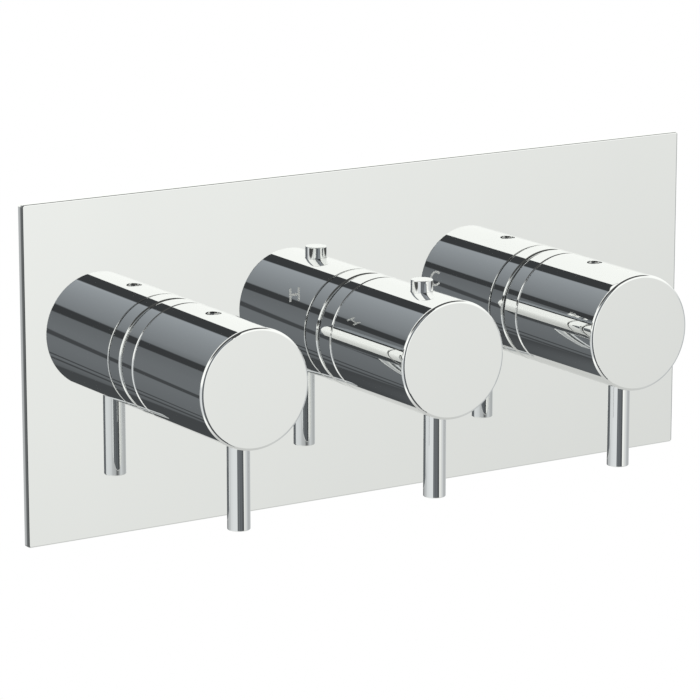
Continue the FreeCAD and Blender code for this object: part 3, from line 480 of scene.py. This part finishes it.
def turnedMetal(name):
    # fine tool lines round the axis, brighter and duller bands, a little tarnish in patches
    colour, dark, roughness, stretch = metals[name]
    material, graph = newMaterial(name)
    lines, patches = graph.cloud(*tooling["lines"], stretch), graph.cloud(*tooling["patches"])
    brighter = opaque([min(1.0, c * tooling["brighter"]) for c in colour])
    tarnished = graph.smooth(patches, *tooling["tarnished"])
    shade = graph.blend(tarnished, opaque(colour), opaque(dark))
    shade = graph.blend(lines * tooling["brightShare"], shade, brighter)
    roughest = roughness + tooling["dullRoughness"]
    dulled = graph.smooth(patches, *tooling["dulled"], roughness, roughest)
    rough = lines * tooling["lineRoughness"] + dulled
    principled(graph, {"Base Color": shade, "Metallic": 1.0, "Roughness": rough,
                       "Normal": bump(graph, tooling["depth"], lines)})
    return material


acetal = {
    "colour": (0.83, 0.83, 0.79),
    "flowColour": (0.77, 0.77, 0.72),
    "grain": 1400.0,
    "flow": (45.0, 3.0, 0.5, (1.0, 0.4, 1.0)),
    "roughness": (0.28, 0.12, 0.1),     # least, added by the grain, added by the flow
    "depth": 0.00003,
}


def mouldedPlastic():
    material, graph = newMaterial("mouldedAcetal")
    grain, flow = graph.cloud(acetal["grain"]), graph.cloud(*acetal["flow"])
    colour = graph.blend(flow, opaque(acetal["colour"]), opaque(acetal["flowColour"]))
    least, byGrain, byFlow = acetal["roughness"]
    principled(graph, {"Base Color": colour, "Roughness": grain * byGrain + flow * byFlow + least,
                       "Normal": bump(graph, acetal["depth"], grain)})
    return material


alumina = {
    "colour": (0.88, 0.87, 0.82),
    "pitColour": (0.8, 0.78, 0.72),
    "grain": (2600.0, 2.0),
    "pits": (0.55, 0.7),
    "roughness": (60.0, 0.1, 0.1),      # scale of the patches, what they add, least
    "glaze": (30.0, 0.3, 0.2),
    "depth": 0.00001,
}


def lappedCeramic():
    material, graph = newMaterial("lappedAlumina")
    grain = graph.cloud(*alumina["grain"])
    pits = graph.smooth(grain, *alumina["pits"])
    colour = graph.blend(pits, opaque(alumina["colour"]), opaque(alumina["pitColour"]))
    scale, change, least = alumina["roughness"]
    rough = graph.cloud(scale) * change + least
    scale, change, least = alumina["glaze"]
    principled(graph, {"Base Color": colour, "Roughness": rough,
                       "Coat Weight": graph.cloud(scale) * change + least,
                       "Normal": bump(graph, alumina["depth"], grain)})
    return material


rubber = {
    "colour": (0.025, 0.025, 0.026),
    "bloomColour": (0.06, 0.06, 0.062),
    "bloom": (140.0, 5.0),
    "bloomed": (0.5, 0.8),
    "grain": 1800.0,
    "roughness": (0.35, 0.2, 0.2),      # least, added by the grain, added by the bloom
    "depth": 0.00004,
}


def blackRubber():
    material, graph = newMaterial("blackRubber")
    bloom, grain = graph.cloud(*rubber["bloom"]), graph.cloud(rubber["grain"])
    bloomed = graph.smooth(bloom, *rubber["bloomed"])
    colour = graph.blend(bloomed, opaque(rubber["colour"]), opaque(rubber["bloomColour"]))
    least, byGrain, byBloom = rubber["roughness"]
    principled(graph, {"Base Color": colour, "Roughness": grain * byGrain + bloom * byBloom + least,
                       "Normal": bump(graph, rubber["depth"], grain)})
    return material


sponge = {
    "pitColour": (0.05, 0.05, 0.052),
    "wallColour": (0.13, 0.13, 0.13),
    "cells": 1500.0,
    "walls": (0.1, 0.6),        # how far from a cell's middle they rise
    "patches": 200.0,
    "roughness": (0.75, 0.15),
    "depth": 0.00015,
}


def closedCellFoam():
    # small closed cells, each a shallow pit whose floor is darkened as painted shade
    material, graph = newMaterial("closedCellFoam")
    place = graph.add("ShaderNodeTexCoord", {}, {}, "Object")
    cells = graph.add("ShaderNodeTexVoronoi", {"feature": "F1"},
                      {"Vector": place, "Scale": sponge["cells"]}, "Distance")
    walls = graph.smooth(cells, *sponge["walls"])
    # painted shade: the pits darken where the bump sinks lowest
    colour = graph.blend(walls, opaque(sponge["pitColour"]), opaque(sponge["wallColour"]))
    least, change = sponge["roughness"]
    rough = graph.cloud(sponge["patches"]) * change + least
    principled(graph, {"Base Color": colour, "Roughness": rough,
                       "Normal": bump(graph, sponge["depth"], walls)})
    return material


etching = {
    "pale": (0.93, 0.94, 0.92),
    "dull": (0.84, 0.85, 0.83),
    "grain": 2400.0,
    "roughness": (0.5, 0.2),
    "depth": 0.000002,
}


def paleEtching():
    # pale and matt, a little uneven
    material, graph = newMaterial("paleEtching")
    grain = graph.cloud(etching["grain"])
    colour = graph.blend(grain, opaque(etching["dull"]), opaque(etching["pale"]))
    least, change = etching["roughness"]
    principled(graph, {"Base Color": colour, "Roughness": grain * change + least,
                       "Normal": bump(graph, etching["depth"], grain)})
    return material


finishes = {
    "chrome": polishedChrome(),
    "brass": turnedMetal("turnedBrass"),
    "steel": turnedMetal("stainlessSteel"),
    "copper": turnedMetal("copperCapsule"),
    "white_plastic": mouldedPlastic(),
    "ceramic": lappedCeramic(),
    "rubber": blackRubber(),
    "foam": closedCellFoam(),
}
ownFinishes = {"valve_body": castBrass(), "face_plate": polishedChrome("plateChrome", plateEdgeShade)}
for subpart in frame["record"]["subparts"]:
    node, slot = subpart["node"], subpart["material_slot"]
    mesh = nodes[node].data
    mesh.materials.clear()
    mesh.materials.append(ownFinishes.get(node, finishes[slot]))
print("finishes put on")


def newTree(name, inputs):
    tree = bpy.data.node_groups.new(name, "GeometryNodeTree")
    geometry = "NodeSocketGeometry"
    tree.interface.new_socket("Geometry", in_out="INPUT", socket_type=geometry)
    for socket, kind in inputs.items():
        tree.interface.new_socket(socket, in_out="INPUT", socket_type="NodeSocket" + kind)
    tree.interface.new_socket("Geometry", in_out="OUTPUT", socket_type=geometry)
    graph = Graph(tree)
    return graph, graph.add("NodeGroupInput", {}, {}, "Geometry")


def closeTree(graph, start, geometry):
    real = graph.add("GeometryNodeRealizeInstances", {}, {"Geometry": geometry})
    material = graph.outputs(start, "Material")
    sockets = {"Geometry": real, "Material": material}
    painted = graph.add("GeometryNodeSetMaterial", {}, sockets)
    graph.add("NodeGroupOutput", {}, {"Geometry": painted})
    return graph.tree


def flatFaced(graph, geometry):
    sockets = {"Geometry": geometry, "Shade Smooth": False}
    return graph.add("GeometryNodeSetShadeSmooth", {}, sockets)


def facing(graph, path, normal):
    # a path whose sections all keep the same side up
    sockets = {"Curve": path, "Normal": normal}
    return graph.add("GeometryNodeSetCurveNormal", {"mode": "FREE"}, sockets)


def sweep(graph, path, section, caps):
    sockets = {"Curve": path, "Profile Curve": section, "Fill Caps": caps}
    return graph.add("GeometryNodeCurveToMesh", {}, sockets)


def growPiece(name, tree, vertices, edges, values):
    # runs the tree on the given points and keeps the plain mesh that comes out
    mesh = bpy.data.meshes.new(name)
    mesh.from_pydata(vertices, edges, [])
    piece = bpy.data.objects.new(name, mesh)
    scene.collection.objects.link(piece)
    modifier = piece.modifiers.new("grow", "NODES")
    modifier.node_group = tree
    for socket in tree.interface.items_tree:
        if socket.in_out == "INPUT" and socket.name in values:
            modifier[socket.identifier] = values[socket.name]
    grown = piece.evaluated_get(bpy.context.evaluated_depsgraph_get())
    finished = bpy.data.meshes.new_from_object(grown)
    piece.modifiers.clear()
    piece.data = finished
    finished.name = name
    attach(piece, "valve_fixed")
    print(name, len(finished.polygons), "faces")
    return piece


def strokeTree():
    # a flat bar of even width laid along every path, its face to the room
    inputs = {"Width": "Float", "Thickness": "Float", "Material": "Material"}
    graph, start = newTree("flatStroke", inputs)
    path = graph.add("GeometryNodeMeshToCurve", {}, {"Mesh": start})
    path = facing(graph, path, (0.0, 1.0, 0.0))
    sockets = {"Width": graph.outputs(start, "Thickness"), "Height": graph.outputs(start, "Width")}
    section = graph.add("GeometryNodeCurvePrimitiveQuadrilateral", {}, sockets)
    bar = sweep(graph, path, section, True)
    return closeTree(graph, start, flatFaced(graph, bar))


letters = {
    "hot": (-0.0334, 0.01835),
    "cold": (0.0318, 0.01735),
    "depth": -0.00302,
    "height": 0.0053,
    "width": 0.0038,
    "stroke": 0.00086,
    "thickness": 0.00004,
    "opening": 42.0,        # half the gap of the round letter in degrees
    "narrow": 0.86,         # its width against its height
    "turns": 28,
}


def makeLetters():
    tree = strokeTree()
    stroke = letters["stroke"]
    values = {"Width": stroke, "Thickness": letters["thickness"], "Material": paleEtching()}
    y, half, side = letters["depth"], letters["height"] / 2, letters["width"] / 2
    x, z = letters["hot"]
    inner = side - stroke / 2       # the crossbar ends at the uprights
    corners = [(x - side, y, z - half), (x - side, y, z + half),
               (x + side, y, z - half), (x + side, y, z + half),
               (x - inner, y, z), (x + inner, y, z)]
    growPiece("hotLetter", tree, corners, [(0, 1), (2, 3), (4, 5)], values)
    x, z = letters["cold"]
    count, opening = letters["turns"], math.radians(letters["opening"])
    corners = []
    for i in range(count + 1):
        angle = opening + (2 * math.pi - 2 * opening) * i / count
        across = half * letters["narrow"] * math.cos(angle)
        corners.append((x + across, y, z + half * math.sin(angle)))
    edges = [(i, i + 1) for i in range(count)]
    growPiece("coldLetter", tree, corners, edges, values)


foam = {
    "inset": 0.007,         # from the seal's outside to the strip's middle
    "width": 0.0136,
    "thickness": 0.0009,
    "corner": 0.0085,
    "cornerPoints": 8,
    "step": 0.002,          # along the strip
    "edgeRound": 0.35,      # against the thickness
    "edgePoints": 3,
    "sectionPoints": 30,
    "unevenness": 0.00012,
    "lumps": (260.0, 2.0),  # scale and detail
    "sunk": 0.62,           # the skin moves mostly inwards
    "seed": 3,
    "seedStep": 1.7,
}


def foamTree():
    # a flat strip round the plate's pan, its skin slightly uneven
    inputs = {"Width": "Float", "Thickness": "Float", "Corner": "Float", "Unevenness": "Float",
              "Seed": "Int", "Material": "Material"}
    graph, start = newTree("foamStrip", inputs)
    path = graph.add("GeometryNodeMeshToCurve", {}, {"Mesh": start})
    rounded = {"Curve": path, "Radius": graph.outputs(start, "Corner"),
               "Count": foam["cornerPoints"]}
    path = graph.add("GeometryNodeFilletCurve", {"mode": "POLY"}, rounded)
    steps = {"Curve": path, "Length": foam["step"]}
    path = graph.add("GeometryNodeResampleCurve", {"mode": "LENGTH"}, steps)
    path = facing(graph, path, (0.0, 1.0, 0.0))
    thickness = graph.outputs(start, "Thickness")
    flat = {"Width": thickness, "Height": graph.outputs(start, "Width")}
    section = graph.add("GeometryNodeCurvePrimitiveQuadrilateral", {}, flat)
    rounded = {"Curve": section, "Radius": thickness * foam["edgeRound"],
               "Count": foam["edgePoints"]}
    section = graph.add("GeometryNodeFilletCurve", {"mode": "POLY"}, rounded)
    steps = {"Curve": section, "Count": foam["sectionPoints"]}
    section = graph.add("GeometryNodeResampleCurve", {"mode": "COUNT"}, steps)
    strip = sweep(graph, path, section, False)
    where = graph.add("GeometryNodeInputPosition", {}, {})
    drift = graph.outputs(start, "Seed") * foam["seedStep"]
    scale, detail = foam["lumps"]
    lumps = {"Vector": where, "W": drift, "Scale": scale, "Detail": detail}
    noise = graph.add("ShaderNodeTexNoise", {"noise_dimensions": "4D"}, lumps, "Fac")
    outwards = graph.add("GeometryNodeInputNormal", {}, {})
    rise = (noise - foam["sunk"]) * graph.outputs(start, "Unevenness")
    shift = graph.add("ShaderNodeVectorMath", {"operation": "SCALE"}, {0: outwards, "Scale": rise})
    strip = graph.add("GeometryNodeSetPosition", {}, {"Geometry": strip, "Offset": shift})
    return closeTree(graph, start, strip)


def makeFoamStrip():
    low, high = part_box("plate_seal")
    y = (low[1] + high[1]) / 2
    x, z = high[0] - foam["inset"], high[2] - foam["inset"]
    corners = [(-x, y, -z), (x, y, -z), (x, y, z), (-x, y, z)]
    values = {"Width": foam["width"], "Thickness": foam["thickness"], "Corner": foam["corner"],
              "Unevenness": foam["unevenness"], "Seed": foam["seed"], "Material": finishes["foam"]}
    edges = [(0, 1), (1, 2), (2, 3), (3, 0)]
    strip = growPiece("foamStrip", foamTree(), corners, edges, values)
    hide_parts("plate_seal")


threads = {
    "pitch": 0.001814,
    "turns": 7.4,
    "radius": 0.0093,
    "ridge": 0.0006,
    "foot": 0.8,            # widths of the ridge's foot and crest against the pitch
    "crest": 0.2,
    "smoothness": 48,
    "ports": [(-0.0435, 0.037, -0.0559), (0.0435, 0.037, -0.0559),
              (-0.087, 0.037, 0.0318), (0.087, 0.037, 0.0318)],
}


def threadTree():
    # the ridge of a pipe thread, wound once and set into every port
    inputs = {"Pitch": "Float", "Turns": "Float", "Radius": "Float", "Ridge": "Float",
              "Material": "Material"}
    graph, start = newTree("pipeThread", inputs)
    pitch, turns = graph.outputs(start, "Pitch"), graph.outputs(start, "Turns")
    radius, ridge = graph.outputs(start, "Radius"), graph.outputs(start, "Ridge")
    middle = radius - ridge / 2
    winding = {"Resolution": threads["smoothness"], "Rotations": turns, "Start Radius": middle,
               "End Radius": middle, "Height": pitch * turns}
    helix = graph.add("GeometryNodeCurveSpiral", {}, winding)
    helix = facing(graph, helix, (0.0, 0.0, 1.0))
    sockets = {"Bottom Width": pitch * threads["foot"], "Top Width": pitch * threads["crest"],
               "Offset": 0.0, "Height": ridge}
    section = graph.add("GeometryNodeCurvePrimitiveQuadrilateral", {"mode": "TRAPEZOID"}, sockets)
    ridges = sweep(graph, helix, section, True)
    everyPort = {"Points": start, "Instance": ridges}
    ports = graph.add("GeometryNodeInstanceOnPoints", {}, everyPort)
    return closeTree(graph, start, ports)


def makeThreads():
    values = {"Pitch": threads["pitch"], "Turns": threads["turns"], "Radius": threads["radius"],
              "Ridge": threads["ridge"], "Material": finishes["brass"]}
    growPiece("portThreads", threadTree(), threads["ports"], [], values)


# sizes and places of the black crosses painted as shade for the screw heads' recesses
recesses = {
    "length": 0.0046,
    "width": 0.0009,
    "depth": 0.00006,
    "proud": 0.000005,      # clear of the head's face
    "across": 0.087,
    "up": 0.014,
}


def recessShadeTree():
    # a thin black cross set into the face of every screw head, painted shade standing in for its
    # cross recess
    inputs = {"Length": "Float", "Width": "Float", "Depth": "Float", "Material": "Material"}
    graph, start = newTree("crossRecessShade", inputs)
    long, wide, deep = (graph.outputs(start, name) for name in ("Length", "Width", "Depth"))
    solver = {"operation": "UNION", "solver": "EXACT"}
    cross = graph.add("GeometryNodeMeshBoolean", solver, {})
    for across, up in ((long, wide), (wide, long)):
        size = graph.add("ShaderNodeCombineXYZ", {}, {"X": across, "Y": deep, "Z": up})
        bar = graph.add("GeometryNodeMeshCube", {}, {"Size": size})
        graph.tree.links.new(bar.socket, cross.socket.node.inputs[1])
    everyHead = {"Points": start, "Instance": flatFaced(graph, cross)}
    heads = graph.add("GeometryNodeInstanceOnPoints", {}, everyHead)
    return closeTree(graph, start, heads)


def makeRecessShade():
    low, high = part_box("bracket_screws")
    y = high[1] - recesses["depth"] / 2 + recesses["proud"]
    across, up = recesses["across"], recesses["up"]
    heads = [(x, y, z) for x in (-across, across) for z in (-up, up)]
    # the black rubber finish paints the recesses' shade
    values = {"Length": recesses["length"], "Width": recesses["width"],
              "Depth": recesses["depth"], "Material": finishes["rubber"]}
    growPiece("screwRecessShade", recessShadeTree(), heads, [], values)


makeLetters()
makeFoamStrip()
makeThreads()
makeRecessShade()
print("letters, foam strip, threads and recesses made")

bpy.context.view_layer.update()
